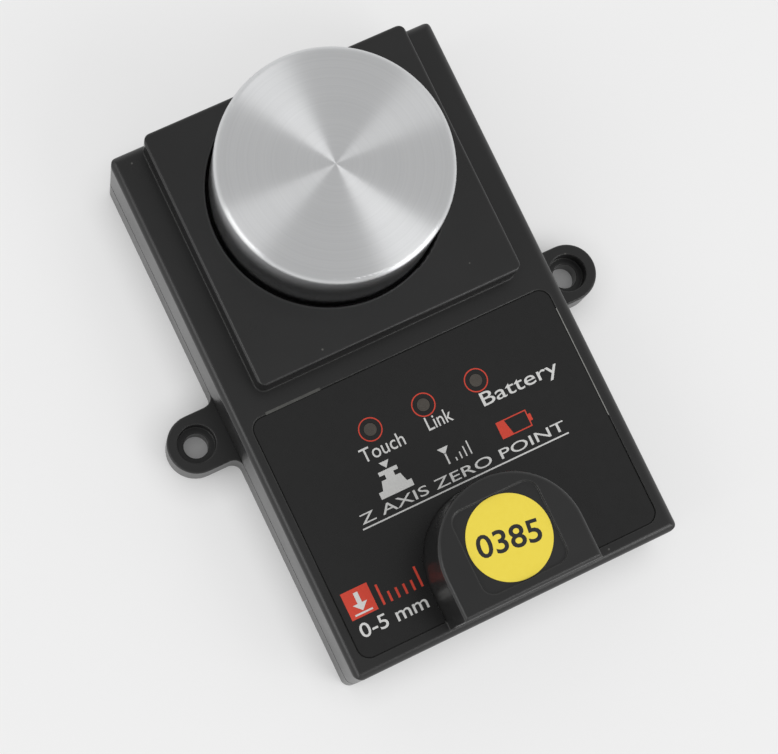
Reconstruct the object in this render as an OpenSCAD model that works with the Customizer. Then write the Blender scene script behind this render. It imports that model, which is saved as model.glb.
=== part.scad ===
// Wireless tool setter: a moulded box with bolt-down ears and a sprung aluminium button.
// Millimetres. Origin on the underside at the middle of the body, +Z up, -Y towards the boss end.

/* [Body] */
// Room between the battery compartment and each side wall
side_room = 0.95; // [0.6:0.05:3]
// Length of the box from the boss end to the button end
body_l = 96; // [95:0.5:108]
// Height of the lower shell, up to the parting line
base_h = 7.5; // [7:0.25:8.5]
// Room for parts between the main board and the roof
part_room = 2.7; // [2.6:0.1:6]
// Wall of both shells
wall = 2.2; // [1.8:0.1:2.6]
// Floor of the lower shell
floor_t = 2.6; // [2.4:0.1:3.2]
// Radius of the upright corners
corner_r = 1.6; // [1:0.1:3]
// Rounding of the roof's outer edges
edge_r = 1.3; // [0.4:0.1:1.6]
// Width of the shadow line between the shells
seam_w = 0.5; // [0.3:0.1:0.8]
// Depth of the shadow line between the shells
seam_depth = 0.4; // [0.2:0.05:0.6]

/* [Mounting ears] */
// Distance of each hole from the box's side
ear_reach = 5.6; // [5:0.2:10]
// Radius of the ear's round end
ear_r = 5.1; // [4.5:0.1:7]
// Diameter of the screw hole
ear_hole_d = 4.3; // [3.2:0.1:5]
// Diameter of the counterbore
ear_cbore_d = 6.6; // [6:0.1:8.5]
// Depth of the counterbore
ear_cbore_depth = 3; // [2:0.25:5]
// Radius of the hollow fillets where the ear meets the box
ear_fillet_r = 1.8; // [1.4:0.2:5]
// Rounding of the ear's upper edge
ear_edge_r = 0.3; // [0.2:0.1:1]

/* [Platform] */
// Distance of the platform's sides from the button
platform_side = 4.6; // [3.8:0.1:6]
// Distance of the platform's front wall from the button
platform_front = 6.25; // [4.5:0.05:8]
// Height of the platform above the roof
platform_h = 6; // [5:0.25:8]
// Rounding of the platform's upper edges
platform_edge_r = 0.5; // [0.3:0.1:0.8]

/* [Button] */
// Diameter of the button
button_d = 39; // [36:0.2:39.4]
// Distance of the button's edge from the box's back face
button_inset = 0.95; // [0.9:0.05:4]
// Height of the button's face above the platform
button_rise = 16.8; // [14:0.2:20]
// Length of the button below the platform's surface
button_skirt = 4; // [3.5:0.1:5]
// Wall of the button
button_wall = 3.3; // [2.8:0.1:4]
// Thickness of the button's face
button_face_t = 4.8; // [3.5:0.1:6]
// Rounding of the face's rim
button_edge_r = 0.9; // [0.5:0.1:2.4]
// Gap round the button in the platform
button_gap = 0.45; // [0.4:0.05:0.8]
// Travel of the button
travel = 5; // [4:0.25:6]

/* [Plunger guide] */
// Diameter of the stem
stem_d = 6; // [5:0.2:7]
// Running clearance of the stem in its bush, on the radius
stem_fit = 0.03; // [0.01:0.01:0.08]
// Outer diameter of the bush
bush_d = 10; // [9:0.2:11]
// Length of the bush in the pillar
bush_l = 14; // [12:0.5:15]
// Outer diameter of the guide pillar
pillar_d = 16; // [15:0.5:17]
// Wire of the return spring
spring_wire = 1.2; // [0.8:0.1:1.4]
// Mean diameter of the return spring
spring_d = 20.6; // [20:0.2:24]
// Turns of the return spring
spring_turns = 7; // [5:1:9]
// Section of the button's O-ring
oring_d = 1.1; // [1:0.1:1.6]

/* [Front boss] */
// Width of the boss
boss_w = 24.6; // [22:0.2:28]
// Length of the boss from its front face to the top of its arch
boss_l = 19.7; // [18.5:0.1:22]
// Height of the boss above the roof
boss_h = 17.3; // [14:0.1:20]
// Distance of the boss's front face from the box's front face
boss_setback = 1.2; // [1:0.1:3]
// Rounding of the boss's upper edges
boss_edge_r = 0.7; // [0.4:0.1:1.2]
// Rim beside the pocket on the boss
pocket_side_rim = 4.7; // [3.8:0.1:6]
// Rim in front of the pocket on the boss
pocket_front_rim = 1.9; // [1.5:0.1:3]
// Rim behind the pocket on the boss
pocket_back_rim = 3.3; // [3:0.1:5]
// Depth of the pocket
pocket_depth = 0.5; // [0.3:0.1:0.8]
// Corner radius of the pocket
pocket_r = 2.2; // [1.4:0.1:3]
// Clearance between the sticker and the pocket's nearer walls
sticker_gap = 0.15; // [0.1:0.05:1]
// Thickness of the sticker
sticker_t = 0.15; // [0.1:0.05:0.25]

/* [Label] */
// Distance of the label from the box's sides
label_margin = 2.3; // [2:0.1:4]
// Distance of the label from the box's front face
label_front = 2.6; // [2.2:0.1:6]
// Distance of the label from the platform's front wall
label_gap = 3.6; // [2.5:0.1:4.5]
// Corner radius of the label
label_r = 2.2; // [1.6:0.2:5]
// Depth of the label's recess
label_recess = 0.4; // [0.3:0.05:0.6]
// Thickness of the label film
label_t = 0.3; // [0.2:0.05:0.3]
// Distance of the lamps from the label's back edge
lamp_row = 9.5; // [8:0.1:11]
// Distance between neighbouring lamps
lamp_pitch = 9.85; // [8:0.05:11]
// Diameter of a lamp window
lamp_d = 2.2; // [1.8:0.1:3]

/* [Battery] */
// Diameter of a cell
cell_d = 10.5; // [10:0.1:10.6]
// Length of a cell over its terminal
cell_l = 44.5; // [43.5:0.1:45]
// Distance of the compartment from the box's front face
battery_front = 11.1; // [10.8:0.1:12]
// Thickness of the battery cover
cover_t = 1.1; // [0.9:0.05:1.3]
// Thickness of the cover's seal
cover_seal_t = 0.5; // [0.4:0.05:0.6]

/* [Electronics] */
// Thickness of the circuit boards
board_t = 1.2; // [1:0.1:1.4]
// Distance of the main board from the side walls
board_side = 3.8; // [2.5:0.1:5]
// Distance of the main board from the platform's front wall
board_gap = 3.9; // [3:0.1:5]
// Height of the optical sensor over its board
sensor_h = 10.3; // [9.6:0.1:10.6]
// Width of the sensor's slot
sensor_slot = 3; // [2.4:0.1:4]
// Width of each arm of the sensor
sensor_arm = 4.6; // [4:0.1:5]
// Thickness of the sensor
sensor_d = 5; // [4:0.1:5.6]
// Diameter of the antenna's coil
antenna_d = 5; // [4:0.2:7]
// Room between the antenna and the boss's roof
antenna_room = 2.2; // [0.5:0.1:6]

/* [Hidden] */
$fn = 64;

// Overshoot of cutting tools past the faces they cut
cut = 1;
// Free space left beside pieces that are dropped into place
slack = 0.2;

// Battery compartment, which sets the width of the box
rib_h = 0.6;
comp_wall = 1.2;
comp_roof_t = 1;
cell_gap = 0.3;
contact_l = 3.4;
contact_t = 0.4;
comp_x = cell_l / 2 + contact_l;
body_w = 2 * (comp_x + comp_wall + side_room + wall);

// Stack of cover, cells, board and parts, which sets the height of the box
cell_z = cover_t + rib_h + cell_d / 2;
comp_roof = cell_z + cell_d / 2 + slack;
board_lift = 0.5;
board_z = comp_roof + comp_roof_t + board_lift;
board_top = board_z + board_t;
roof_z = board_top + part_room;
shell_top = roof_z + wall;

// Outline of the body
front_y = -body_l / 2;
back_y = body_l / 2;
in_x = body_w / 2 - wall;
in_y = body_l / 2 - wall;
ear_x = body_w / 2 + ear_reach;
ear_top = base_h - seam_w;

// Platform and button
button_r = button_d / 2;
button_y = back_y - button_inset - button_r;
platform_x = button_r + platform_side;
platform_y = button_y - button_r - platform_front;
platform_z = shell_top + platform_h;
sleeve_r = button_r + button_gap;
sleeve_wall = 1.6;
button_top = platform_z + button_rise;
button_low = platform_z - button_skirt;
cup_r = button_r - button_wall;
cup_roof = button_top - button_face_t;
oring_gap = 0.1;
oring_lip = 0.95;
oring_z = button_low + oring_lip + oring_d / 2;
oring_in = sleeve_r - oring_gap - oring_d;
sleeve_low = oring_z - travel - oring_d;
sleeve_edge_r = 0.4;

// Plunger
hub_r = 6;
hub_h = 5;
hub_z = cup_roof - hub_h;
spigot_r = 2;
spigot_l = 4;
stop_gap = 0.6;
flange_t = 1.4;
flange_lip = 1.5;
flange_r = bush_d / 2 + flange_lip;
pillar_top = hub_z - travel - stop_gap - flange_t;
bush_low = pillar_top - bush_l;
clip_t = 0.7;
clip_play = 0.05;
clip_top = bush_low - clip_play;
groove_depth = 0.6;
clip_lip = 1.8;
clip_r = stem_d / 2 + clip_lip;
clip_mouth = stem_d - 2 * groove_depth;
stem_tail = 1.5;
stem_low = clip_top - clip_t - stem_tail;
pit_room = 1;
pit_r = clip_r + pit_room;
plug_lip = 1.6;
plug_lip_t = 1.2;
plug_lip_r = pit_r + plug_lip;
plug_spigot = 1;
spring_seat = 8;
seat_lip = 2;
spring_seat_r = spring_d / 2 + seat_lip;

// Boss
boss_x = boss_w / 2;
boss_front = front_y + boss_setback;
boss_arch_y = boss_front + boss_l - boss_x;
boss_top = shell_top + boss_h;
boss_wall = 2;
pocket_w = boss_w - 2 * pocket_side_rim;
pocket_l = boss_l - pocket_front_rim - pocket_back_rim;
pocket_y = boss_front + pocket_front_rim + pocket_l / 2;
sticker_d = min(pocket_w, pocket_l) - 2 * sticker_gap;

// Label
label_x = body_w / 2 - label_margin;
label_back_y = platform_y - label_gap;
label_front_y = front_y + label_front;
label_z = shell_top - label_recess;
label_gap_boss = 0.25;
lamp_y = label_back_y - lamp_row;
lamps = [for (i = [-1, 0, 1]) i * lamp_pitch];
pipe_flange = 0.8;
pipe_flange_r = lamp_d / 2 + pipe_flange;
pipe_flange_t = 0.9;

// Housing screws and posts
post_r = 3.2;
post_inset = 3.3;
post_x = in_x - post_inset;
post_y = in_y - post_inset;
screw_posts = [for (x = [-post_x, post_x], y = [-post_y, post_y]) [x, y]];
screw_r = 1.45;
screw_head_r = 2.7;
screw_head_t = 2;
screw_grip = 8.5;
screw_play = 0.1;

// Rim seal
groove_w = 0.9;
groove_h = 0.8;
groove_in = (wall - seam_depth - groove_w) / 2 + seam_depth;

// Battery cells and cover
cell_play = 0.2;
comp_front = front_y + battery_front + comp_wall;
comp_back = comp_front + 2 * cell_d + cell_gap + 2 * cell_play;
cells_y = [comp_front + cell_play + cell_d / 2, comp_back - cell_play - cell_d / 2];
cover_recess = cover_t + cover_seal_t;
cover_lap = 1.8;
tab_r = 2.6;
tab_out = 1.4;
tabs_y = [comp_front - cover_lap - tab_out, comp_back + cover_lap + tab_out];
cover_screw_r = 1;
cover_screw_head_r = 1.9;
cover_screw_head_t = 0.7;
cover_boss_h = 5;
nub_r = 1.9;
nub_l = 1;

// Boards
board_x = in_x - board_side;
board_tongue = 5.2;
board_back = platform_y - board_gap;
board_front = front_y + battery_front - board_tongue;
tongue_room = 3.3;
tongue_x = post_x - post_r - tongue_room;
tongue_y = -post_y + post_r + 1;
board_post_r = 2.3;
board_post_in = 4;
post_back = 2.6;
post_front = 2.2;
board_posts = [for (s = [-1, 1]) each [[s * (tongue_x - board_post_in), board_front + post_front],
    [s * (board_x - board_post_in), board_back - post_back]]];
small_screw_r = 0.8;
small_head_r = 1.8;
small_head_t = 1.2;
small_screw_l = 5;
led_t = 0.7;
chip_t = 1.1;
radio_t = 0.8;
shield_t = 1.5;
antenna_back = 3.2;
antenna_y = boss_arch_y + antenna_back;
antenna_wire = 0.8;
antenna_h = boss_top - boss_wall - antenna_room - board_top;

// Sensor and flag
flag_t = 0.6;
flag_y = button_y - button_r + button_wall / 2;
flag_w = 4;
sensor_room = 0.5;
sensor_top = button_low - travel - flag_t - sensor_room;
sensor_dip = 1.3;
sensor_board_top = sensor_top - sensor_h;
sensor_board_z = sensor_board_top - board_t;
sensor_w = sensor_slot + 2 * sensor_arm;
sensor_board_x = 15;
sensor_board_half = 5;
sensor_board_y = [flag_y - sensor_board_half, flag_y + sensor_board_half];
sensor_post_x = 12;
sensor_post_r = 2.2;
flag_screw_out = 3;
flag_screw_x = sensor_w / 2 + flag_screw_out;
flag_mid_r = button_r - button_wall / 2;
flag_screw_y = button_y - sqrt(flag_mid_r * flag_mid_r - flag_screw_x * flag_screw_x);
ribbon_t = 0.4;
ribbon_w = 8;
ribbon_x = -6;
ribbon_bend_y = (board_back + sensor_board_y[0]) / 2;

// Shapes

module slab(x0, x1, y0, y1, z0, z1) {
    translate([x0, y0, z0]) cube([x1 - x0, y1 - y0, z1 - z0]);
}

module rod(r, z0, z1) {
    translate([0, 0, z0]) cylinder(r = r, h = z1 - z0);
}

// Rectangle with round corners, given by its limits
module round_rect(x0, x1, y0, y1, r) {
    translate([x0 + r, y0]) square([x1 - x0 - 2 * r, y1 - y0]);
    translate([x0, y0 + r]) square([x1 - x0, y1 - y0 - 2 * r]);
    for (x = [x0 + r, x1 - r], y = [y0 + r, y1 - r]) translate([x, y]) circle(r);
}

module round_slab(x0, x1, y0, y1, z0, z1, r) {
    translate([0, 0, z0]) linear_extrude(z1 - z0) round_rect(x0, x1, y0, y1, r);
}

// Outline of a wall whose two upper corners are round
module arched_profile(a0, a1, z0, z1, r) {
    translate([a0, z0]) square([a1 - a0, z1 - z0 - r]);
    translate([a0 + r, z0]) square([a1 - a0 - 2 * r, z1 - z0]);
    for (a = [a0 + r, a1 - r]) translate([a, z1 - r]) circle(r);
}

// Block with round upright corners and rounded upper edges
module soft_block(x0, x1, y0, y1, z0, z1, upright_r, top_r) {
    intersection() {
        round_slab(x0, x1, y0, y1, z0, z1, upright_r);
        translate([0, y1 + cut, 0]) rotate([90, 0, 0]) linear_extrude(y1 - y0 + 2 * cut)
            arched_profile(x0, x1, z0, z1, top_r);
        translate([x0 - cut, 0, 0]) rotate([90, 0, 90]) linear_extrude(x1 - x0 + 2 * cut)
            arched_profile(y0, y1, z0, z1, top_r);
    }
}

// Disc whose upper rim is rounded
module soft_disc(r, z0, z1, rim_r) {
    rotate_extrude() {
        translate([0, z0]) square([r, z1 - z0 - rim_r]);
        translate([0, z0]) square([r - rim_r, z1 - z0]);
        translate([r - rim_r, z1 - rim_r]) intersection() {
            circle(rim_r);
            square(rim_r);
        }
    }
}

// Arched block of the boss: straight sides, round back, flat front
module boss_block(inset, z0, z1, top_r) {
    half = boss_x - inset;
    intersection() {
        union() {
            translate([0, boss_arch_y, 0]) soft_disc(half, z0, z1, top_r);
            translate([0, boss_arch_y, 0]) rotate([90, 0, 0]) linear_extrude(boss_arch_y - boss_front - inset)
                arched_profile(-half, half, z0, z1, top_r);
        }
        translate([-boss_x - cut, 0, 0]) rotate([90, 0, 90]) linear_extrude(boss_w + 2 * cut)
            arched_profile(boss_front + inset, boss_arch_y + boss_x + 2 * top_r, z0, z1, top_r);
    }
}

// Plan of the boss with its walls moved out by a clearance
module boss_plan(clear, z0, z1) {
    half = boss_x + clear;
    translate([0, boss_arch_y, 0]) rod(half, z0, z1);
    slab(-half, half, front_y, boss_arch_y, z0, z1);
}

// Pan-head screw with a cross recess: head upwards, seat at z = 0
module screw(r, l, head_r, head_t) {
    recess_w = head_r * 0.36;
    recess_l = head_r * 1.2;
    recess_d = head_t * 0.55;
    difference() {
        union() {
            rod(r, -l, 0.01);
            soft_disc(head_r, 0, head_t, head_t * 0.4);
        }
        for (turn = [0, 90]) rotate(turn)
            slab(-recess_l / 2, recess_l / 2, -recess_w / 2, recess_w / 2, head_t - recess_d, head_t + cut);
    }
}

// Height along a wound wire: close end turns, open turns between
function wound_z(turn, turns, h, wire) =
    let (close = wire * 1.06, open = (h - wire - 2 * close) / (turns - 2))
    wire / 2 + (turn < 1 ? turn * close
        : turn > turns - 1 ? h - wire - (turns - turn) * close
        : close + (turn - 1) * open);

// Round wire wound from radius r0 at the foot to r1 at the top
module wound_wire(r0, r1, h, turns, wire, steps, sides) {
    n = turns * steps;
    points = [for (i = [0:n], k = [0:sides - 1])
        let (a = 360 * i / steps, b = 360 * k / sides, r = r0 + (r1 - r0) * i / n + wire / 2 * cos(b))
        [r * cos(a), r * sin(a), wound_z(i / steps, turns, h, wire) + wire / 2 * sin(b)]];
    sides_faces = [for (i = [0:n - 1], k = [0:sides - 1])
        let (p = i * sides + k, q = i * sides + (k + 1) % sides)
        each [[p, p + sides, q], [q, p + sides, q + sides]]];
    foot = [for (k = [0:sides - 1]) k];
    head = [for (k = [sides - 1:-1:0]) n * sides + k];
    polyhedron(points, concat(sides_faces, [foot], [head]), convexity = 10);
}

// Housing

module shell_outside() {
    soft_block(-body_w / 2, body_w / 2, front_y, back_y, base_h, shell_top, corner_r, edge_r);
    soft_block(-platform_x, platform_x, platform_y, back_y, shell_top - wall, platform_z, corner_r, platform_edge_r);
    boss_block(0, shell_top - wall, boss_top, boss_edge_r);
}

module shell_inside() {
    round_slab(-in_x, in_x, -in_y, in_y, base_h - cut, roof_z, corner_r / 2);
    slab(-platform_x + wall, platform_x - wall, platform_y + wall, in_y, roof_z - cut, platform_z - wall);
    boss_block(boss_wall, roof_z - cut, boss_top - boss_wall, boss_edge_r);
}

// Ring cut that rounds the upper edge of the button's opening
module opening_round() {
    translate([0, button_y, platform_z - sleeve_edge_r]) rotate_extrude() difference() {
        translate([sleeve_r - cut, 0]) square([sleeve_edge_r + cut, sleeve_edge_r + cut]);
        translate([sleeve_r + sleeve_edge_r, 0]) circle(sleeve_edge_r);
    }
}

module upper_housing() {
    color("#26282b") difference() {
        union() {
            difference() {
                shell_outside();
                shell_inside();
            }
            intersection() {
                union() {
                    translate([0, button_y, 0]) rod(sleeve_r + sleeve_wall, sleeve_low, platform_z - wall + 0.01);
                    for (p = screw_posts) translate(p) rod(post_r, base_h, roof_z + 0.01);
                }
                slab(-in_x - 0.5, in_x + 0.5, -in_y - 0.5, in_y + 0.5, base_h, platform_z);
            }
        }
        translate([0, button_y, 0]) rod(sleeve_r, sleeve_low - cut, platform_z + cut);
        opening_round();
        for (p = screw_posts) translate(p) rod(screw_r + 0.05, base_h - cut, base_h + screw_grip + 1);
        difference() {
            round_slab(-label_x, label_x, label_front_y, label_back_y, label_z, shell_top + cut, label_r);
            boss_plan(0, label_z - cut, shell_top + 2 * cut);
        }
        for (x = lamps) translate([x, lamp_y, 0]) rod(lamp_d / 2 + 0.05, roof_z - cut, shell_top);
        round_slab(-pocket_w / 2, pocket_w / 2, pocket_y - pocket_l / 2, pocket_y + pocket_l / 2,
            boss_top - pocket_depth, boss_top + cut, pocket_r);
    }
}

// Ear with its hollow fillets, on the +X side
module ear() {
    side = body_w / 2;
    translate([ear_x, 0, 0]) soft_disc(ear_r, 0, ear_top, ear_edge_r);
    translate([side - wall, 0, 0]) rotate([90, 0, 90]) linear_extrude(ear_x - side + wall)
        arched_profile(-ear_r, ear_r, 0, ear_top, ear_edge_r);
    for (s = [-1, 1]) difference() {
        slab(side - wall / 2, side + ear_fillet_r, s > 0 ? ear_r - 1 : -ear_r - ear_fillet_r,
            s > 0 ? ear_r + ear_fillet_r : 1 - ear_r, 0, ear_top);
        translate([side + ear_fillet_r, s * (ear_r + ear_fillet_r), 0]) rod(ear_fillet_r, -cut, base_h + cut);
    }
}

module base_outside() {
    round_slab(-body_w / 2, body_w / 2, front_y, back_y, 0, base_h - seam_w, corner_r);
    round_slab(-body_w / 2 + seam_depth, body_w / 2 - seam_depth, front_y + seam_depth, back_y - seam_depth,
        0, base_h, corner_r);
    for (turn = [0, 180]) rotate(turn) ear();
}

module base_posts() {
    for (p = screw_posts) translate(p) rod(post_r, floor_t - 0.01, base_h);
    for (p = board_posts) translate(p) rod(board_post_r, floor_t - 0.01, board_z);
    for (s = [-1, 1]) translate([s * sensor_post_x, flag_y, 0]) rod(sensor_post_r, floor_t - 0.01, sensor_board_z);
    for (y = tabs_y) translate([0, y, 0]) rod(tab_r, floor_t - 0.01, cover_recess + cover_boss_h);
    translate([0, button_y, 0]) rod(pillar_d / 2, floor_t - 0.01, pillar_top);
    translate([0, button_y, 0]) rod(spring_seat_r, floor_t - 0.01, spring_seat);
    slab(-comp_x - comp_wall, comp_x + comp_wall, comp_front - comp_wall, comp_back + comp_wall,
        floor_t - 0.01, comp_roof + comp_roof_t);
}

// Plan of the battery cover, made smaller by a clearance
module cover_plan(clear, z0, z1) {
    lap = cover_lap - clear;
    round_slab(-comp_x - lap, comp_x + lap, comp_front - lap, comp_back + lap, z0, z1, cover_lap / 2);
    for (y = tabs_y) translate([0, y, 0]) rod(tab_r - clear, z0, z1);
}

module base() {
    color("#232527") difference() {
        union() {
            difference() {
                base_outside();
                round_slab(-in_x, in_x, -in_y, in_y, floor_t, base_h + cut, corner_r / 2);
            }
            base_posts();
        }
        difference() {
            round_slab(-body_w / 2 + groove_in, body_w / 2 - groove_in, front_y + groove_in, back_y - groove_in,
                base_h - groove_h, base_h + cut, corner_r);
            round_slab(-body_w / 2 + groove_in + groove_w, body_w / 2 - groove_in - groove_w,
                front_y + groove_in + groove_w, back_y - groove_in - groove_w,
                base_h - groove_h - cut, base_h + 2 * cut, corner_r / 2);
        }
        for (s = [-1, 1]) translate([s * ear_x, 0, 0]) {
            rod(ear_hole_d / 2, -cut, base_h + cut);
            rod(ear_cbore_d / 2, ear_top - ear_cbore_depth, base_h + cut);
        }
        for (p = screw_posts) translate(p) {
            rod(screw_r + screw_play, -cut, base_h + cut);
            rod(screw_head_r + 0.3, -cut, floor_t);
        }
        for (p = board_posts) translate(p) rod(small_screw_r + 0.05, board_z - small_screw_l, board_z + cut);
        for (s = [-1, 1]) translate([s * sensor_post_x, flag_y, 0])
            rod(small_screw_r + 0.05, sensor_board_top - small_screw_l + slack, sensor_board_z + cut);
        translate([0, button_y, 0]) {
            rod(pit_r, -cut, bush_low);
            rod(bush_d / 2, bush_low - cut, pillar_top + cut);
            rod(plug_lip_r + 0.1, -cut, plug_lip_t + slack);
        }
        cover_plan(0, -cut, cover_recess);
        slab(-comp_x, comp_x, comp_front, comp_back, -cut, comp_roof);
        for (y = tabs_y) translate([0, y, 0])
            rod(cover_screw_r + 0.05, 0, cover_recess + cover_boss_h - 1);
    }
}

module housing_seal() {
    a = groove_in + 0.05;
    b = groove_in + groove_w - 0.05;
    color("#151515") difference() {
        round_slab(-body_w / 2 + a, body_w / 2 - a, front_y + a, back_y - a, base_h - groove_h, base_h, corner_r);
        round_slab(-body_w / 2 + b, body_w / 2 - b, front_y + b, back_y - b,
            base_h - groove_h - cut, base_h + cut, corner_r / 2);
    }
}

module label_panel() {
    color("#17181a") difference() {
        round_slab(-label_x + slack, label_x - slack, label_front_y + slack, label_back_y - slack,
            label_z, label_z + label_t, label_r - slack);
        boss_plan(label_gap_boss, label_z - cut, shell_top + cut);
        for (x = lamps) translate([x, lamp_y, 0]) rod(lamp_d / 2 + 0.05, label_z - cut, shell_top + cut);
    }
}

module number_sticker() {
    color("#f5dc3c") translate([0, pocket_y, boss_top - pocket_depth])
        cylinder(d = sticker_d, h = sticker_t);
}

module light_pipes() {
    color("#6d635c") for (x = lamps) translate([x, lamp_y, 0]) {
        rod(lamp_d / 2, roof_z - 0.01, label_z + label_t - 0.05);
        rod(pipe_flange_r, roof_z - pipe_flange_t, roof_z);
    }
}

// Electronics

module main_board() {
    color("#1c5a34") difference() {
        union() {
            slab(-board_x, board_x, tongue_y, board_back, board_z, board_top);
            slab(-tongue_x, tongue_x, board_front, tongue_y + 0.01, board_z, board_top);
        }
        for (p = board_posts) translate(p) rod(small_screw_r + screw_play, board_z - cut, board_top + cut);
    }
}

module indicator_leds() {
    led_l = 2;
    led_w = 1.25;
    color("#e8e4d6") for (x = lamps)
        slab(x - led_l / 2, x + led_l / 2, lamp_y - led_w / 2, lamp_y + led_w / 2, board_top, board_top + led_t);
}

module controller_chip() {
    chip_w = 7;
    lead_l = 1;
    lead_w = 0.35;
    lead_t = 0.2;
    lead_pitch = 0.8;
    chip_in = 15;
    chip_out = 9;
    color("#2b2b2d") translate([board_x - chip_in, tongue_y + chip_out, board_top]) {
        slab(-chip_w / 2, chip_w / 2, -chip_w / 2, chip_w / 2, 0, chip_t);
        for (turn = [0:90:270], i = [-3:3]) rotate(turn)
            slab(chip_w / 2 - 0.01, chip_w / 2 + lead_l, i * lead_pitch - lead_w / 2, i * lead_pitch + lead_w / 2, 0, lead_t);
    }
}

module radio_module() {
    module_w = 11;
    module_l = 15;
    module_in = 1;
    module_out = 0.7;
    shield_inset = 1.2;
    shield_r = 0.6;
    antenna_end = 3;
    color("#a9adb0") translate([module_in + module_w / 2 - board_x, tongue_y + module_out + module_l / 2, board_top]) {
        slab(-module_w / 2, module_w / 2, -module_l / 2, module_l / 2, 0, radio_t);
        round_slab(-module_w / 2 + shield_inset, module_w / 2 - shield_inset, -module_l / 2 + antenna_end,
            module_l / 2 - shield_inset, radio_t - 0.01, radio_t + shield_t, shield_r);
    }
}

module antenna_coil() {
    turns = 9;
    color("#c9a24a") translate([0, antenna_y, board_top])
        wound_wire((antenna_d - antenna_wire) / 2, (antenna_d - antenna_wire) / 2, antenna_h, turns, antenna_wire, 14, 6);
}

module board_screws() {
    color("#b8bbbe") for (p = board_posts) translate([p[0], p[1], board_top])
        screw(small_screw_r, small_screw_l - slack, small_head_r, small_head_t);
}

module housing_screws() {
    color("#8c8f92") for (p = screw_posts) translate([p[0], p[1], floor_t]) rotate([180, 0, 0])
        screw(screw_r, base_h - floor_t + screw_grip, screw_head_r, screw_head_t);
}

module slot_sensor() {
    depth = travel + sensor_dip + 0.6;
    color("#202022") translate([0, flag_y, sensor_board_top]) difference() {
        slab(-sensor_w / 2, sensor_w / 2, -sensor_d / 2, sensor_d / 2, 0, sensor_h);
        slab(-sensor_slot / 2, sensor_slot / 2, -sensor_d, sensor_d, sensor_h - depth, sensor_h + cut);
    }
}

module sensor_board() {
    color("#1c5a34") difference() {
        slab(-sensor_board_x, sensor_board_x, sensor_board_y[0], sensor_board_y[1], sensor_board_z, sensor_board_top);
        for (s = [-1, 1]) translate([s * sensor_post_x, flag_y, 0])
            rod(small_screw_r + screw_play, sensor_board_z - cut, sensor_board_top + cut);
    }
}

// Flat lead: lies on both boards and rises between them
module sensor_ribbon() {
    lap = 1.8;
    y = ribbon_bend_y;
    color("#b9b2a4") translate([ribbon_x - ribbon_w / 2, 0, 0]) rotate([90, 0, 90]) linear_extrude(ribbon_w)
        polygon([[sensor_board_y[0] + lap, sensor_board_top], [y, sensor_board_top],
            [y, board_top], [board_back - lap, board_top], [board_back - lap, board_top + ribbon_t],
            [y + ribbon_t, board_top + ribbon_t], [y + ribbon_t, sensor_board_top + ribbon_t],
            [sensor_board_y[0] + lap, sensor_board_top + ribbon_t]]);
}

module sensor_screws() {
    color("#b8bbbe") for (s = [-1, 1]) translate([s * sensor_post_x, flag_y, sensor_board_top])
        screw(small_screw_r, sensor_board_top - floor_t - slack, small_head_r, small_head_t);
}

// Battery

module battery_cells() {
    color("#3c6fa8") for (i = [0, 1]) translate([0, cells_y[i], cell_z]) rotate([0, i == 0 ? 90 : -90, 0]) {
        rod(cell_d / 2, -cell_l / 2, cell_l / 2 - nub_l);
        rod(nub_r, cell_l / 2 - nub_l - 0.01, cell_l / 2);
    }
}

module battery_plates() {
    plate_edge = 1;
    plate_w = cell_d - 2 * plate_edge;
    dimple_r = 2.4;
    color("#c4c7c9") for (i = [0, 1], s = [-1, 1]) translate([0, cells_y[i], cell_z]) {
        slab(s > 0 ? comp_x - contact_t : -comp_x, s > 0 ? comp_x : contact_t - comp_x,
            -plate_w / 2, plate_w / 2, -plate_w / 2, plate_w / 2);
        if ((i == 0) == (s > 0)) rotate([0, s * 90, 0]) rod(dimple_r, cell_l / 2, comp_x - contact_t + 0.01);
    }
}

module battery_springs() {
    wire = 0.7;
    foot_r = 3.6;
    tip_r = 2;
    gap_l = contact_l - contact_t;
    color("#b4b7ba") for (i = [0, 1]) translate([(i == 0 ? -1 : 1) * (comp_x - contact_t), cells_y[i], cell_z])
        rotate([0, i == 0 ? 90 : -90, 0]) wound_wire(foot_r, tip_r, gap_l, 3, wire, 14, 6);
}

module battery_cover() {
    rib_w = 1;
    rib_x = 14;
    color("#232527") difference() {
        union() {
            cover_plan(slack, 0, cover_t);
            for (x = [-rib_x, 0, rib_x])
                slab(x - rib_w / 2, x + rib_w / 2, comp_front + 1, comp_back - 1, cover_t - 0.01, cover_t + rib_h);
        }
        for (y = tabs_y) translate([0, y, 0]) {
            rod(cover_screw_r + screw_play, -cut, cover_t + cut);
            rod(cover_screw_head_r + 0.1, -cut, cover_screw_head_t);
        }
    }
}

module cover_seal() {
    seal_in = 0.4;
    color("#151515") difference() {
        cover_plan(slack, cover_t, cover_recess);
        slab(-comp_x - seal_in, comp_x + seal_in, comp_front - seal_in, comp_back + seal_in, 0, cover_recess + cut);
        for (y = tabs_y) translate([0, y, 0]) rod(cover_screw_r + screw_play, 0, cover_recess + cut);
    }
}

module cover_screws() {
    color("#8c8f92") for (y = tabs_y) translate([0, y, cover_screw_head_t]) rotate([180, 0, 0])
        screw(cover_screw_r, cover_recess + cover_boss_h - 1 - slack - cover_screw_head_t, cover_screw_head_r,
            cover_screw_head_t);
}

// Plunger guide

module guide_bush() {
    color("#b08d4a") translate([0, button_y, 0]) difference() {
        union() {
            rod(bush_d / 2, bush_low, pillar_top);
            rod(flange_r, pillar_top, pillar_top + flange_t);
        }
        rod(stem_d / 2 + stem_fit, bush_low - cut, pillar_top + flange_t + cut);
    }
}

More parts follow.
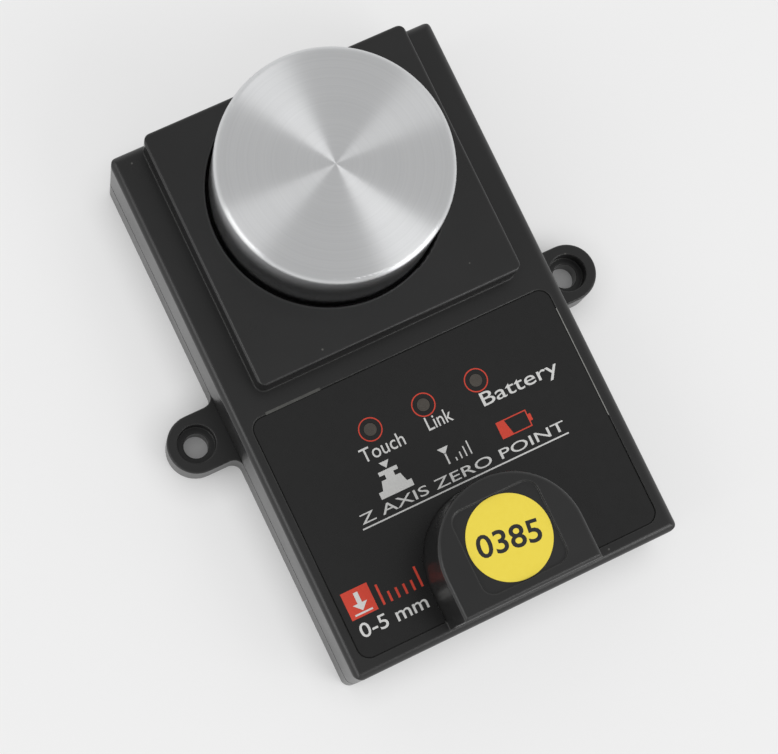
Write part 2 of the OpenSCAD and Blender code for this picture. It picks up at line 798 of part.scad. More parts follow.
module bottom_plug() {
    color("#232527") translate([0, button_y, 0]) {
        rod(plug_lip_r, slack, plug_lip_t + slack);
        rod(pit_r - 0.05, plug_lip_t + slack - 0.01, plug_lip_t + slack + plug_spigot);
    }
}

// Turned cup: flat face, rounded rim, O-ring groove, hub for the stem
module probe_button() {
    color("#c8cacc") translate([0, button_y, 0]) difference() {
        soft_disc(button_r, button_low, button_top, button_edge_r);
        difference() {
            rod(cup_r, button_low - cut, cup_roof);
            rod(hub_r, hub_z, cup_roof + cut);
        }
        rod(spigot_r + 0.05, hub_z - cut, hub_z + spigot_l + 0.3);
        difference() {
            rod(button_r + cut, oring_z - oring_d / 2 - 0.05, oring_z + oring_d / 2 + 0.05);
            rod(oring_in - 0.05, oring_z - oring_d, oring_z + oring_d);
        }
        translate([flag_screw_x, flag_screw_y - button_y, 0])
            rod(small_screw_r + 0.05, button_low - cut, button_low + small_screw_l);
    }
}

module plunger_stem() {
    color("#9da0a3") translate([0, button_y, 0]) difference() {
        union() {
            rod(stem_d / 2, stem_low, hub_z);
            rod(spigot_r, hub_z - 0.01, hub_z + spigot_l);
        }
        difference() {
            rod(stem_d, clip_top - clip_t - clip_play, clip_top + clip_play);
            rod(clip_mouth / 2, clip_top - clip_t - 2 * clip_play, clip_top + 2 * clip_play);
        }
    }
}

module stem_clip() {
    color("#55585b") translate([0, button_y, 0]) difference() {
        rod(clip_r, clip_top - clip_t, clip_top);
        rod(clip_mouth / 2 + clip_play, clip_top - clip_t - cut, clip_top + cut);
        slab(-clip_mouth / 2 + 0.3, clip_mouth / 2 - 0.3, 0, clip_r + cut, clip_top - clip_t - cut, clip_top + cut);
    }
}

module button_seal() {
    color("#151515") translate([0, button_y, oring_z]) rotate_extrude()
        translate([oring_in + oring_d / 2, 0]) circle(d = oring_d);
}

// Bent strip: a foot under the skirt and a blade that dips into the sensor
module sensor_flag() {
    blade_low = sensor_top - sensor_dip;
    foot_end = flag_screw_x + small_head_r + 0.3;
    foot_w = button_wall - 0.3;
    color("#8f9498") difference() {
        intersection() {
            union() {
                slab(-flag_t / 2, foot_end, flag_y - flag_w, button_y, button_low - flag_t, button_low);
                slab(-flag_t / 2, flag_t / 2, flag_y - flag_w, button_y, blade_low, button_low);
            }
            translate([0, button_y, 0]) difference() {
                rod(flag_mid_r + foot_w / 2, blade_low - cut, button_low);
                rod(flag_mid_r - foot_w / 2, blade_low - 2 * cut, button_low + cut);
            }
        }
        translate([flag_screw_x, flag_screw_y, 0]) rod(small_screw_r + screw_play, blade_low, button_low + cut);
    }
}

module flag_screw() {
    color("#b8bbbe") translate([flag_screw_x, flag_screw_y, button_low - flag_t]) rotate([180, 0, 0])
        screw(small_screw_r, small_screw_l - slack + flag_t, small_head_r * 0.8, small_head_t);
}

module return_spring() {
    color("#a6a9ac") translate([0, button_y, spring_seat])
        wound_wire(spring_d / 2, spring_d / 2, cup_roof - spring_seat, spring_turns, spring_wire, 20, 8);
}

upper_housing();
base();
housing_seal();
label_panel();
number_sticker();
light_pipes();
main_board();
indicator_leds();
controller_chip();
radio_module();
antenna_coil();
board_screws();
housing_screws();
battery_cells();
battery_springs();
battery_plates();
battery_cover();
cover_seal();
cover_screws();
guide_bush();
slot_sensor();
sensor_board();
sensor_ribbon();
sensor_screws();
bottom_plug();
probe_button();
plunger_stem();
stem_clip();
button_seal();
sensor_flag();
flag_screw();
return_spring();
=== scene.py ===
"""Tool setter: finishes, printed marks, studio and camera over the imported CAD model."""

import math

import bmesh
import bpy
from mathutils import Matrix, Vector


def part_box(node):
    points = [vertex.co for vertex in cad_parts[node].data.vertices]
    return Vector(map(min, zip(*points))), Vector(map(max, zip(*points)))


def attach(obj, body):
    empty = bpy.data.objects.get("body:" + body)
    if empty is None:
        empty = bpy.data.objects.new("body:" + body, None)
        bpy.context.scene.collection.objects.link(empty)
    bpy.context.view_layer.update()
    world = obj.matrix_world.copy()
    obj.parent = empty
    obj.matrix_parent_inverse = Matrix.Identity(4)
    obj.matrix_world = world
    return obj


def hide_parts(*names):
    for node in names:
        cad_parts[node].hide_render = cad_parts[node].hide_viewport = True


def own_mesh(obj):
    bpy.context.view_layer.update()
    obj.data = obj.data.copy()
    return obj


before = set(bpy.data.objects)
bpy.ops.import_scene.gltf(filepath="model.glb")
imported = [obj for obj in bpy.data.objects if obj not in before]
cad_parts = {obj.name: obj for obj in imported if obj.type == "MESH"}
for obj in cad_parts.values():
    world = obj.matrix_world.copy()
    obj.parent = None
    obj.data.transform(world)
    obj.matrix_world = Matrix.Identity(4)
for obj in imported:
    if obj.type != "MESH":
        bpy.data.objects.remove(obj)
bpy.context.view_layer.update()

MM = 0.001

# Camera, as the photograph was taken: almost overhead, from the boss end, with a long lens
CAMERA_PLACE = Vector((-0.0775, -0.0454, 0.4332))
CAMERA_AIM = Vector((-0.0032, -0.0047, 0.02))
PICTURE_UP = Vector((0.4424, 0.9123, 0.0))
SENSOR_WIDTH_MM = 36.0
LENS_MM = 117.4

# Places taken from the frame
label_low, label_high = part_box("label_panel")
sticker_low, sticker_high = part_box("number_sticker")
button_low, button_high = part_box("probe_button")
pipes_low, pipes_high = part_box("light_pipes")
BUTTON_AXIS = (button_low + button_high) / 2
LAMP_D = pipes_high.y - pipes_low.y
LAMP_Y = (pipes_low.y + pipes_high.y) / 2
LAMP_PITCH = (pipes_high.x - pipes_low.x - LAMP_D) / 2


def linear(hex_colour):
    """sRGB hex colour as linear RGBA."""
    parts = [int(hex_colour[i:i + 2], 16) / 255 for i in (1, 3, 5)]
    return (*[c / 12.92 if c <= 0.04045 else ((c + 0.055) / 1.055) ** 2.4 for c in parts], 1.0)


def per_metre(size_mm):
    """Texture scale whose features are about this large."""
    return 1.0 / (size_mm * MM)


def add(tree, kind, inputs=None, **settings):
    """Adds one node with its settings, socket values and links."""
    made = tree.nodes.new(kind)
    for name, value in settings.items():
        setattr(made, name, value)
    for name, value in (inputs or {}).items():
        if isinstance(value, bpy.types.NodeSocket):
            tree.links.new(value, made.inputs[name])
        else:
            made.inputs[name].default_value = value
    return made


def finish(name):
    """New material: its node tree and its Principled shader."""
    made = bpy.data.materials.new(name)
    made.use_nodes = True
    return made, made.node_tree, made.node_tree.nodes["Principled BSDF"]


def link(tree, shader, **sockets):
    """Links sockets to the shader's inputs of the same name."""
    for name, socket in sockets.items():
        tree.links.new(socket, shader.inputs[name.replace("_", " ")])


# Finishes of the visible pieces

def moulded_abs():
    """ABS from a spark-eroded mould: near black, satin, with fine grain, a painted highlight along its edges
    and a little dust.
    """
    # The grain is drawn coarser than the real one, which is too fine to show
    grain_mm = 0.35
    cloud_mm = 14.0
    dust_mm = 4.5
    eased_edge_mm = 0.35
    made, tree, shader = finish("moulded_black_abs")
    place = add(tree, "ShaderNodeTexCoord").outputs["Object"]
    grain = add(tree, "ShaderNodeTexNoise", {
        "Vector": place, "Scale": per_metre(grain_mm), "Detail": 3.0, "Roughness": 0.6})
    cloud = add(tree, "ShaderNodeTexNoise", {"Vector": place, "Scale": per_metre(cloud_mm), "Detail": 4.0})
    tone = add(tree, "ShaderNodeMix", {
        "Factor": cloud.outputs["Fac"], "A": linear("#191919"), "B": linear("#1f1f1f")}, data_type="RGBA")
    flecks = add(tree, "ShaderNodeTexVoronoi", {
        "Vector": place, "Scale": per_metre(dust_mm), "Randomness": 1.0})
    fleck = add(tree, "ShaderNodeMapRange", {
        "Value": flecks.outputs["Distance"], "From Min": 0.045, "From Max": 0.03,
        "To Min": 0.0, "To Max": 0.35})
    dusty = add(tree, "ShaderNodeMix", {
        "Factor": fleck.outputs["Result"], "A": tone.outputs["Result"], "B": linear("#8d8c88")},
        data_type="RGBA")
    eased = add(tree, "ShaderNodeBevel", {"Radius": eased_edge_mm * MM}, samples=6)
    sharp = add(tree, "ShaderNodeNewGeometry").outputs["Normal"]
    turn = add(tree, "ShaderNodeVectorMath", {0: eased.outputs["Normal"], 1: sharp}, operation="DOT_PRODUCT")
    # Painted highlight: where the eased normal turns away from the true one, the edges are painted paler,
    # towards #454543
    edge_highlight = add(tree, "ShaderNodeMapRange", {
        "Value": turn.outputs["Value"], "From Min": 0.99, "From Max": 0.85, "To Min": 0.0, "To Max": 0.4})
    edge_lit = add(tree, "ShaderNodeMix", {
        "Factor": edge_highlight.outputs["Result"], "A": dusty.outputs["Result"], "B": linear("#454543")},
        data_type="RGBA")
    sheen = add(tree, "ShaderNodeMapRange", {
        "Value": cloud.outputs["Fac"], "From Min": 0.3, "From Max": 0.7, "To Min": 0.27, "To Max": 0.34})
    bump = add(tree, "ShaderNodeBump", {
        "Height": grain.outputs["Fac"], "Strength": 0.25, "Distance": 0.02 * MM,
        "Normal": eased.outputs["Normal"]})
    link(tree, shader, Base_Color=edge_lit.outputs["Result"], Roughness=sheen.outputs["Result"],
         Normal=bump.outputs["Normal"])
    shader.inputs["IOR"].default_value = 1.53
    return made


def printed_film():
    """Vinyl film, printed black on its back: smoother and a little deeper than the moulding."""
    ripple_mm = 1.6
    made, tree, shader = finish("printed_vinyl_film")
    place = add(tree, "ShaderNodeTexCoord").outputs["Object"]
    ripple = add(tree, "ShaderNodeTexNoise", {"Vector": place, "Scale": per_metre(ripple_mm), "Detail": 2.0})
    tone = add(tree, "ShaderNodeMix", {
        "Factor": ripple.outputs["Fac"], "A": linear("#090909"), "B": linear("#0d0d0d")}, data_type="RGBA")
    sheen = add(tree, "ShaderNodeMapRange", {"Value": ripple.outputs["Fac"], "To Min": 0.24, "To Max": 0.32})
    bump = add(tree, "ShaderNodeBump", {
        "Height": ripple.outputs["Fac"], "Strength": 0.12, "Distance": 0.02 * MM})
    link(tree, shader, Base_Color=tone.outputs["Result"], Roughness=sheen.outputs["Result"],
         Normal=bump.outputs["Normal"])
    shader.inputs["IOR"].default_value = 1.53
    return made


def spun_aluminium():
    """Aluminium faced on a lathe: rings stretch each light into a fan, and the side darkens below the rim."""
    # The rings are drawn coarser than the real tool marks, which are too fine to show
    ring_mm = 0.22
    band_mm = 2.4
    rim_mm = 12.0
    made, tree, shader = finish("spun_aluminium")
    place = add(tree, "ShaderNodeTexCoord").outputs["Object"]
    centred = add(tree, "ShaderNodeVectorMath", {
        0: place, 1: (BUTTON_AXIS.x, BUTTON_AXIS.y, 0.0)}, operation="SUBTRACT")
    split = add(tree, "ShaderNodeSeparateXYZ", {"Vector": centred.outputs["Vector"]})
    outward = add(tree, "ShaderNodeCombineXYZ", {"X": split.outputs["X"], "Y": split.outputs["Y"]})
    radius = add(tree, "ShaderNodeVectorMath", {0: outward.outputs["Vector"]}, operation="LENGTH")
    lathe = add(tree, "ShaderNodeCombineXYZ", {"X": radius.outputs["Value"], "Y": split.outputs["Z"]})
    rings = add(tree, "ShaderNodeTexNoise", {
        "Vector": lathe.outputs["Vector"], "Scale": per_metre(ring_mm), "Detail": 3.0, "Roughness": 0.7})
    bands = add(tree, "ShaderNodeTexNoise", {
        "Vector": lathe.outputs["Vector"], "Scale": per_metre(band_mm), "Detail": 3.0})
    tone = add(tree, "ShaderNodeMix", {
        "Factor": rings.outputs["Fac"], "A": linear("#e4e5e6"), "B": linear("#f3f4f5")}, data_type="RGBA")
    bump = add(tree, "ShaderNodeBump", {
        "Height": rings.outputs["Fac"], "Strength": 0.12, "Distance": 0.01 * MM})
    facing = add(tree, "ShaderNodeSeparateXYZ", {
        "Vector": add(tree, "ShaderNodeNewGeometry").outputs["Normal"]})
    on_face = add(tree, "ShaderNodeMath", {0: facing.outputs["Z"], 1: 0.5}, operation="GREATER_THAN")
    face_sheen = add(tree, "ShaderNodeMapRange", {
        "Value": bands.outputs["Fac"], "From Min": 0.3, "From Max": 0.7, "To Min": 0.33, "To Max": 0.38})
    side_sheen = add(tree, "ShaderNodeMapRange", {
        "Value": split.outputs["Z"], "From Min": button_high.z - rim_mm * MM, "From Max": button_high.z,
        "To Min": 0.36, "To Max": 1.0})
    sheen = add(tree, "ShaderNodeMix", {
        "Factor": on_face.outputs["Value"], "A": side_sheen.outputs["Result"],
        "B": face_sheen.outputs["Result"]})
    around = add(tree, "ShaderNodeTangent", direction_type="RADIAL", axis="Z")
    smear = add(tree, "ShaderNodeMix", {
        "Factor": on_face.outputs["Value"], "A": around.outputs["Tangent"], "B": outward.outputs["Vector"]},
        data_type="VECTOR")
    link(tree, shader, Base_Color=tone.outputs["Result"], Roughness=sheen.outputs["Result"],
         Normal=bump.outputs["Normal"], Tangent=smear.outputs["Result"])
    shader.inputs["Metallic"].default_value = 1.0
    shader.inputs["Anisotropic"].default_value = 1.0
    return made


def clouded(name, dark, light, cloud_mm, rough, bump=0.0, metallic=0.0, ior=1.5):
    """A finish with one cloud of tone, roughness and relief, for the plainer pieces."""
    made, tree, shader = finish(name)
    place = add(tree, "ShaderNodeTexCoord").outputs["Object"]
    cloud = add(tree, "ShaderNodeTexNoise", {
        "Vector": place, "Scale": per_metre(cloud_mm), "Detail": 4.0, "Roughness": 0.6})
    tone = add(tree, "ShaderNodeMix", {
        "Factor": cloud.outputs["Fac"], "A": linear(dark), "B": linear(light)}, data_type="RGBA")
    sheen = add(tree, "ShaderNodeMapRange", {
        "Value": cloud.outputs["Fac"], "From Min": 0.3, "From Max": 0.7,
        "To Min": rough[0], "To Max": rough[1]})
    link(tree, shader, Base_Color=tone.outputs["Result"], Roughness=sheen.outputs["Result"])
    if bump:
        relief = add(tree, "ShaderNodeBump", {
            "Height": cloud.outputs["Fac"], "Strength": bump, "Distance": 0.02 * MM})
        link(tree, shader, Normal=relief.outputs["Normal"])
    shader.inputs["Metallic"].default_value = metallic
    if not metallic:
        shader.inputs["IOR"].default_value = ior
    return made


abs_black = moulded_abs()
film_black = printed_film()
aluminium = spun_aluminium()
# Coated paper: a bright even yellow with a trace of fibre under the coat
sticker_paper = clouded("yellow_coated_paper", "#f4dc46", "#f8e250", 0.8, (0.42, 0.55), bump=0.15)
# Smoked acrylic: a grey-brown lens with a soft gloss, dark while its lamp is off
smoked_lens = clouded("smoked_acrylic", "#443f3a", "#504b45", 1.2, (0.25, 0.35), ior=1.49)
# Screen inks: flat, slightly uneven, without the film's gloss
white_ink = clouded("white_screen_ink", "#d6d6d4", "#e2e2e0", 0.5, (0.5, 0.6), bump=0.1)
red_ink = clouded("red_screen_ink", "#cf3a26", "#dc4630", 0.5, (0.5, 0.6), bump=0.1)
black_ink = clouded("black_printing_ink", "#16161a", "#1d1d20", 0.5, (0.5, 0.6), bump=0.1)
# Painted highlights on the ABS beside the label: a pale line along the recess's right edge, a duller one
# along its back edge
highlight_abs = clouded("painted_highlight_edge", "#6a6a68", "#a0a09c", 1.5, (0.3, 0.45))
dull_highlight_abs = clouded("painted_dull_highlight_edge", "#343432", "#62625f", 1.2, (0.35, 0.5))

# Finishes of the pieces inside
# Moulded nitrile: dead matt black
rubber = clouded("black_nitrile_rubber", "#101010", "#171717", 0.6, (0.6, 0.75), bump=0.2)
# Solder mask over glass laminate: deep green with a soft gloss
laminate = clouded("green_solder_mask", "#12432a", "#1a5836", 1.2, (0.3, 0.45), bump=0.1)
# Fired ceramic: warm white, smooth
lamp_body = clouded("white_lamp_ceramic", "#d8d4c6", "#e6e2d6", 0.6, (0.4, 0.5))
# Transfer-moulded resin: charcoal with a fine matt grain
resin = clouded("black_moulding_resin", "#1c1c1d", "#252526", 0.3, (0.5, 0.65), bump=0.2)
# Tinned sheet: bright grey, softly clouded
tinned = clouded("tinned_sheet_steel", "#b4b6b8", "#c6c8ca", 0.9, (0.28, 0.42), bump=0.1, metallic=1.0)
# Drawn brass: warm yellow with a dull gloss
brass = clouded("drawn_brass", "#b8924a", "#cba75c", 0.7, (0.25, 0.4), metallic=1.0)
# Zinc plate: cool grey, a little spangled
zinc = clouded("zinc_plated_steel", "#9da0a3", "#b4b7b9", 0.5, (0.3, 0.45), bump=0.1, metallic=1.0)
# Drawn spring wire: darker grey, smooth
spring_steel = clouded("drawn_spring_steel", "#8f9296", "#a6a9ac", 0.6, (0.25, 0.4), metallic=1.0)
# Shrunk plastic sleeve: plain blue, glossy
cell_sleeve = clouded("printed_cell_sleeve", "#2e5c92", "#3a6ca4", 2.0, (0.3, 0.4))
# Laminated polyester: cream, satin
flat_lead = clouded("flat_polyester_lead", "#b0a996", "#bdb6a4", 0.9, (0.4, 0.5))

NODE_FINISH = {
    "upper_housing": abs_black, "base": abs_black, "battery_cover": abs_black, "bottom_plug": abs_black,
    "housing_seal": rubber, "cover_seal": rubber, "button_seal": rubber,
    "label_panel": film_black, "number_sticker": sticker_paper, "light_pipes": smoked_lens,
    "main_board": laminate, "sensor_board": laminate, "indicator_leds": lamp_body,
    "controller_chip": resin, "slot_sensor": resin, "radio_module": tinned, "battery_plates": tinned,
    "antenna_coil": brass, "guide_bush": brass,
    "board_screws": zinc, "housing_screws": zinc, "cover_screws": zinc, "sensor_screws": zinc,
    "flag_screw": zinc, "plunger_stem": zinc, "stem_clip": spring_steel, "sensor_flag": spring_steel,
    "battery_springs": spring_steel, "return_spring": spring_steel,
    "battery_cells": cell_sleeve, "sensor_ribbon": flat_lead, "probe_button": aluminium,
}
for node_name, surface in NODE_FINISH.items():
    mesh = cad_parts[node_name].data
    mesh.materials.clear()
    mesh.materials.append(surface)


def return_coil():
    """The return spring, as a copy of the CAD spring carried by the housing."""
    coil = bpy.data.objects.new("return_coil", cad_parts["return_spring"].data.copy())
    bpy.context.scene.collection.objects.link(coil)
    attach(coil, "housing")
    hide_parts("return_spring")
    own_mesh(coil)


return_coil()


# Printed marks, laid out in millimetres from the body's middle

PRINT_LIFT = 0.012 * MM
# Height of a capital in the lettering, as a share of its nominal size
CAPITAL_SHARE = 0.73
# How far the lettering's outline is moved out, as a share of its nominal size
PLAIN_WEIGHT = 0.003
WIDE_WEIGHT = 0.006
BOLD_WEIGHT = 0.014


def lay(name, mesh, ink):
    """Puts a printed mark on the housing."""
    mesh.materials.append(ink)
    mark = bpy.data.objects.new(name, mesh)
    bpy.context.scene.collection.objects.link(mark)
    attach(mark, "housing")


def flat_mark(name, outlines, ink, top, at=(0.0, 0.0)):
    """A mark made of flat outlines about the point at, on the height top."""
    mesh = bpy.data.meshes.new(name)
    shape = bmesh.new()
    for outline in outlines:
        corners = [((at[0] + x) * MM, (at[1] + y) * MM, top + PRINT_LIFT) for x, y in outline]
        shape.faces.new([shape.verts.new(corner) for corner in corners])
    shape.normal_update()
    for face in shape.faces:
        if face.normal.z < 0:
            face.normal_flip()
    shape.to_mesh(mesh)
    shape.free()
    lay(name, mesh, ink)


def words(name, text, span, foot, tall, ink, top, weight=PLAIN_WEIGHT, turn_deg=0.0):
    """A line of lettering over a span from left to right, standing on foot, with capitals this tall."""
    left, right = span
    curve = bpy.data.curves.new(name, "FONT")
    curve.body = text
    curve.offset = weight
    curve.resolution_u = 4
    draft = bpy.data.objects.new(name + "_draft", curve)
    bpy.context.scene.collection.objects.link(draft)
    bpy.context.view_layer.update()
    mesh = bpy.data.meshes.new_from_object(draft.evaluated_get(bpy.context.evaluated_depsgraph_get()))
    bpy.data.objects.remove(draft)
    mesh.name = name
    start = min(v.co.x for v in mesh.vertices)
    end = max(v.co.x for v in mesh.vertices)
    wide = (right - left) * MM / (end - start)
    high = tall * MM / CAPITAL_SHARE
    for v in mesh.vertices:
        v.co = (left * MM + (v.co.x - start) * wide, foot * MM + v.co.y * high, top + PRINT_LIFT)
    middle = Matrix.Translation(((left + right) / 2 * MM, (foot + tall / 2) * MM, 0.0))
    mesh.transform(middle @ Matrix.Rotation(math.radians(turn_deg), 4, "Z") @ middle.inverted())
    lay(name, mesh, ink)


def rect(left, right, front, back):
    """Outline of a rectangle."""
    return [(left, front), (right, front), (right, back), (left, back)]


def trapezium(front_half, back_half, front, back):
    """Outline of a symmetrical taper between two widths."""
    return [(-front_half, front), (front_half, front), (back_half, back), (-back_half, back)]


def ring(inner, outer, steps=48):
    """Outlines of a thin circle, as short pieces."""
    turns = [2 * math.pi * i / steps for i in range(steps + 1)]
    rays = [(math.cos(turn), math.sin(turn)) for turn in turns]
    return [[(inner * ax, inner * ay), (outer * ax, outer * ay),
             (outer * bx, outer * by), (inner * bx, inner * by)]
            for (ax, ay), (bx, by) in zip(rays, rays[1:])]


# The row of lamps with a ring for each; everything else on the label hangs from this row
LABEL_TOP = label_high.z
ROW = LAMP_Y / MM
RING_R = 2.05
RING_LINE = 0.2
for i, lamp in enumerate(("touch", "link", "battery")):
    flat_mark(f"{lamp}_lamp_ring", ring(RING_R - RING_LINE, RING_R), red_ink, LABEL_TOP,
              at=((i - 1) * LAMP_PITCH / MM, ROW))

# A word under each lamp: its text, its span and how far it stands in front of the row
WORD_TALL = 2.5
LAMP_WORDS = {
    "touch_word": ("Touch", (-13.3, -5.4), 4.7),
    "link_word": ("Link", (-1.0, 3.6), 4.4),
    "battery_word": ("Battery", (9.2, 23.4), 4.6),
}
for word_name, (text, span, drop) in LAMP_WORDS.items():
    words(word_name, text, span, ROW - drop, WORD_TALL, white_ink, LABEL_TOP)

# Pictogram of a tool tip over a setter, from its foot to the tip
SETTER_AT = (-10.2, ROW - 8.3)
SETTER_FOOT = -3.1
SETTER_BODY = -1.9
SETTER_NECK = -0.3
SETTER_BUTTON = 0.5
SETTER_HEAD = 1.2
TIP_POINT = 1.4
TIP_TOP = 2.6
TIP_HALF = 0.9
FOOT_HALF = 3.0
BODY_HALF = 2.2
NECK_HALF = 0.8
HEAD_HALF = 1.7
flat_mark("probe_pictogram", [
    rect(-FOOT_HALF, FOOT_HALF, SETTER_FOOT, SETTER_BODY),
    trapezium(BODY_HALF, HEAD_HALF, SETTER_BODY, SETTER_NECK),
    rect(-NECK_HALF, NECK_HALF, SETTER_NECK, SETTER_BUTTON),
    rect(-HEAD_HALF, HEAD_HALF, SETTER_BUTTON, SETTER_HEAD),
    [(-TIP_HALF, TIP_TOP), (0.0, TIP_POINT), (TIP_HALF, TIP_TOP)],
], white_ink, LABEL_TOP, at=SETTER_AT)

# Pictogram of the radio link: a mast and four rising bars
LINK_AT = (1.5, ROW - 9.3)
LINK_HALF = 1.5
MAST_X = -1.8
MAST_HALF = 0.15
MAST_TOP = 0.5
FUNNEL_HALF = 1.0
FUNNEL_POINT = 0.3
BAR_COUNT = 4
BAR_LEFT = -0.5
BAR_WIDE = 0.22
BAR_STEP = 0.9
BAR_RISE = 0.6
bars = []
for i in range(BAR_COUNT):
    bar_left = BAR_LEFT + BAR_STEP * i
    bars.append(rect(bar_left, bar_left + BAR_WIDE, -LINK_HALF, BAR_RISE * (i + 1) - LINK_HALF))
flat_mark("signal_pictogram", [
    [(MAST_X - FUNNEL_HALF, LINK_HALF), (MAST_X, FUNNEL_POINT), (MAST_X + FUNNEL_HALF, LINK_HALF)],
    rect(MAST_X - MAST_HALF, MAST_X + MAST_HALF, -LINK_HALF, MAST_TOP),
    *bars,
], white_ink, LABEL_TOP, at=LINK_AT)

# Pictogram of a battery that is nearly empty, with a slanting charge
CELL_AT = (12.6, ROW - 9.4)
CELL_LEFT = -3.0
CELL_RIGHT = 2.6
CELL_HALF = 1.5
CELL_LINE = 0.2
CELL_INNER = CELL_HALF - CELL_LINE
CELL_INNER_LEFT = CELL_LEFT + CELL_LINE
KNOB_WIDE = 0.5
KNOB_HALF = 0.6
CHARGE_FRONT = -0.9
CHARGE_BACK = -1.5
flat_mark("battery_pictogram", [
    rect(CELL_LEFT, CELL_RIGHT, CELL_INNER, CELL_HALF),
    rect(CELL_LEFT, CELL_RIGHT, -CELL_HALF, -CELL_INNER),
    rect(CELL_LEFT, CELL_INNER_LEFT, -CELL_INNER, CELL_INNER),
    rect(CELL_RIGHT - CELL_LINE, CELL_RIGHT, -CELL_INNER, CELL_INNER),
    rect(CELL_RIGHT, CELL_RIGHT + KNOB_WIDE, -KNOB_HALF, KNOB_HALF),
    [(CELL_INNER_LEFT, -CELL_INNER), (CHARGE_FRONT, -CELL_INNER),
     (CHARGE_BACK, CELL_INNER), (CELL_INNER_LEFT, CELL_INNER)],
], red_ink, LABEL_TOP, at=CELL_AT)

# Title with a rule under it
TITLE_SPAN = (-17.9, 20.1)
TITLE_FOOT = ROW - 13.8
TITLE_TALL = 1.75
RULE_SPAN = (-18.2, 20.2)
RULE_LINE = 0.25
RULE_DROP = 0.6
words("title_words", "Z AXIS ZERO POINT", TITLE_SPAN, TITLE_FOOT, TITLE_TALL, white_ink, LABEL_TOP)
flat_mark("title_rule", [rect(*RULE_SPAN, -RULE_LINE, 0.0)], white_ink, LABEL_TOP,
          at=(0.0, TITLE_FOOT - RULE_DROP))

# The stroke of the button: a red block with an arrow onto a line, a short scale and its length
STROKE_AT = (-23.9, ROW - 24.9)
BLOCK_HALF = 2.4
SHAFT_HALF = 0.4
SHAFT_TOP = 1.7
ARROW_HALF = 1.3
ARROW_BACK = -0.2
ARROW_POINT = -1.5
STOP_HALF = 1.6
STOP_FRONT = -2.0
STOP_BACK = -1.7
flat_mark("travel_block", [rect(-BLOCK_HALF, BLOCK_HALF, -BLOCK_HALF, BLOCK_HALF)], red_ink, LABEL_TOP,
          at=STROKE_AT)
flat_mark("travel_arrow", [
    rect(-SHAFT_HALF, SHAFT_HALF, ARROW_BACK, SHAFT_TOP),
    [(-ARROW_HALF, ARROW_BACK), (0.0, ARROW_POINT), (ARROW_HALF, ARROW_BACK)],
    rect(-STOP_HALF, STOP_HALF, STOP_FRONT, STOP_BACK),
], white_ink, LABEL_TOP + PRINT_LIFT, at=STROKE_AT)
# One line for each millimetre of the stroke, with a long one at each end
SCALE_LEFT = 3.4
SCALE_STEP = 1.4
SCALE_LINE = 0.4
SCALE_FRONT = -2.2
SCALE_SHORT = -0.4
SCALE_LONG = 1.4
STROKE_MM = 5
scale_lefts = [SCALE_LEFT + SCALE_STEP * i for i in range(STROKE_MM + 1)]
flat_mark("travel_scale", [
    rect(left, left + SCALE_LINE, SCALE_FRONT, SCALE_SHORT if i % STROKE_MM else SCALE_LONG)
    for i, left in enumerate(scale_lefts)
], red_ink, LABEL_TOP, at=STROKE_AT)
LENGTH_SPAN = (-25.9, -13.7)
LENGTH_FOOT = ROW - 30.6
words("travel_words", "0-5 mm", LENGTH_SPAN, LENGTH_FOOT, WORD_TALL, white_ink, LABEL_TOP, weight=WIDE_WEIGHT)

# The number on the sticker, put on a little askew
sticker_x, sticker_y, _ = (sticker_low + sticker_high) / 2 / MM
NUMBER_SPAN = (sticker_x - 5.6, sticker_x + 5.2)
NUMBER_TALL = 3.8
words("sticker_number", "0385", NUMBER_SPAN, sticker_y - NUMBER_TALL / 2, NUMBER_TALL, black_ink,
      sticker_high.z, weight=BOLD_WEIGHT, turn_deg=-7.6)

# Painted highlights along the label's recess edges, on the roof beside the film
ROOF_TOP = LABEL_TOP + 0.1 * MM
EDGE_GAP = 0.1
HIGHLIGHT_WIDE = 0.16
HIGHLIGHT_RUN = (-24.0, -4.0)
DULL_HIGHLIGHT_WIDE = 0.48
DULL_HIGHLIGHT_RUN = (3.0, 13.0)
flat_mark("painted_highlight_right_edge", [rect(EDGE_GAP, EDGE_GAP + HIGHLIGHT_WIDE, *HIGHLIGHT_RUN)], highlight_abs, ROOF_TOP,
          at=(label_high.x / MM, label_high.y / MM))
flat_mark("painted_highlight_back_edge", [rect(*DULL_HIGHLIGHT_RUN, EDGE_GAP, EDGE_GAP + DULL_HIGHLIGHT_WIDE)], dull_highlight_abs, ROOF_TOP,
          at=(label_low.x / MM, label_high.y / MM))


# Studio

def soft_box(name, bearing_deg, height_deg, size, power, distance=0.9):
    """A square soft box that faces the object; bearing runs from +X towards +Y."""
    bearing = math.radians(bearing_deg)
    height = math.radians(height_deg)
    lamp = bpy.data.lights.new(name, "AREA")
    lamp.size = size
    lamp.energy = power
    box = bpy.data.objects.new(name, lamp)
    level = math.cos(height)
    towards = Vector((math.cos(bearing) * level, math.sin(bearing) * level, math.sin(height)))
    box.location = towards * distance
    box.rotation_mode = "QUATERNION"
    box.rotation_quaternion = towards.to_track_quat("Z", "Y")
    bpy.context.scene.collection.objects.link(box)


def pale_room(horizon, zenith):
    """An even room, brighter round the walls than overhead."""
    world = bpy.data.worlds.new("pale_room")
    world.use_nodes = True
    bpy.context.scene.world = world
    tree = world.node_tree
    place = add(tree, "ShaderNodeTexCoord").outputs["Generated"]
    upward = add(tree, "ShaderNodeSeparateXYZ", {"Vector": place})
    dim = add(tree, "ShaderNodeMapRange", {
        "Value": upward.outputs["Z"], "From Min": 0.15, "From Max": 0.95,
        "To Min": horizon, "To Max": zenith})
    tree.nodes["Background"].inputs["Color"].default_value = linear("#f8f8f8")
    tree.links.new(dim.outputs["Result"], tree.nodes["Background"].inputs["Strength"])


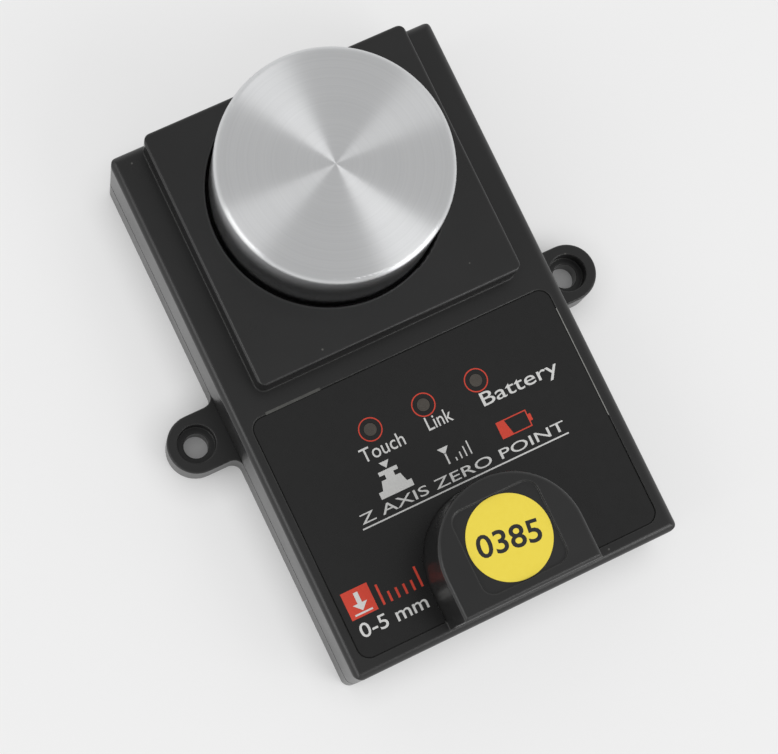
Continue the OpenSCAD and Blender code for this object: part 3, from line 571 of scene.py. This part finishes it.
def white_card():
    """Matt card that looks evenly pale in the picture and in the metal, and darker close to the object."""
    pale_share = 0.6
    shade_mm = 6.0
    made = clouded("matt_white_card", "#eaeaea", "#eeeeee", 60.0, (0.8, 0.9))
    tree = made.node_tree
    ray = add(tree, "ShaderNodeLightPath").outputs
    seen = add(tree, "ShaderNodeMath", {0: ray["Is Camera Ray"], 1: ray["Is Glossy Ray"]}, operation="ADD")
    seen = add(tree, "ShaderNodeMath", {
        0: seen.outputs["Value"], 1: ray["Is Transmission Ray"]}, operation="ADD", use_clamp=True)
    in_the_open = add(tree, "ShaderNodeAmbientOcclusion", {"Distance": shade_mm * MM}, samples=8)
    pale_there = add(tree, "ShaderNodeMath", {
        0: in_the_open.outputs["AO"], 1: pale_share}, operation="MULTIPLY")
    share = add(tree, "ShaderNodeMath", {
        0: seen.outputs["Value"], 1: pale_there.outputs["Value"]}, operation="MULTIPLY")
    pale = add(tree, "ShaderNodeEmission", {"Color": linear("#fafafa"), "Strength": 1.0})
    mixed = add(tree, "ShaderNodeMixShader", {
        "Fac": share.outputs["Value"], 1: tree.nodes["Principled BSDF"].outputs["BSDF"],
        2: pale.outputs["Emission"]})
    tree.links.new(mixed.outputs["Shader"], tree.nodes["Material Output"].inputs["Surface"])
    return made


def card_floor(half, drop_mm):
    """The card the object stands on, a hair below its feet."""
    mesh = bpy.data.meshes.new("floor")
    shape = bmesh.new()
    bmesh.ops.create_grid(shape, x_segments=1, y_segments=1, size=half)
    shape.to_mesh(mesh)
    shape.free()
    mesh.materials.append(white_card())
    floor = bpy.data.objects.new("floor", mesh)
    floor.location.z = -drop_mm * MM
    bpy.context.scene.collection.objects.link(floor)


def photo_camera():
    """The camera of the photograph."""
    lens = bpy.data.cameras.new("photo_camera")
    lens.sensor_fit = "HORIZONTAL"
    lens.sensor_width = SENSOR_WIDTH_MM
    lens.lens = LENS_MM
    camera = bpy.data.objects.new("photo_camera", lens)
    forward = (CAMERA_AIM - CAMERA_PLACE).normalized()
    right = forward.cross(PICTURE_UP).normalized()
    turned = Matrix((right, right.cross(forward), -forward)).transposed().to_4x4()
    camera.matrix_world = Matrix.Translation(CAMERA_PLACE) @ turned
    bpy.context.scene.collection.objects.link(camera)
    bpy.context.scene.camera = camera


soft_box("front_soft_box", bearing_deg=305, height_deg=45, size=0.42, power=1.9)
soft_box("left_soft_box", bearing_deg=179, height_deg=45, size=0.4, power=1.12)
pale_room(horizon=1.0, zenith=0.51)
card_floor(half=3.0, drop_mm=0.02)
photo_camera()
bpy.context.scene.view_settings.view_transform = "Standard"

bpy.context.view_layer.update()
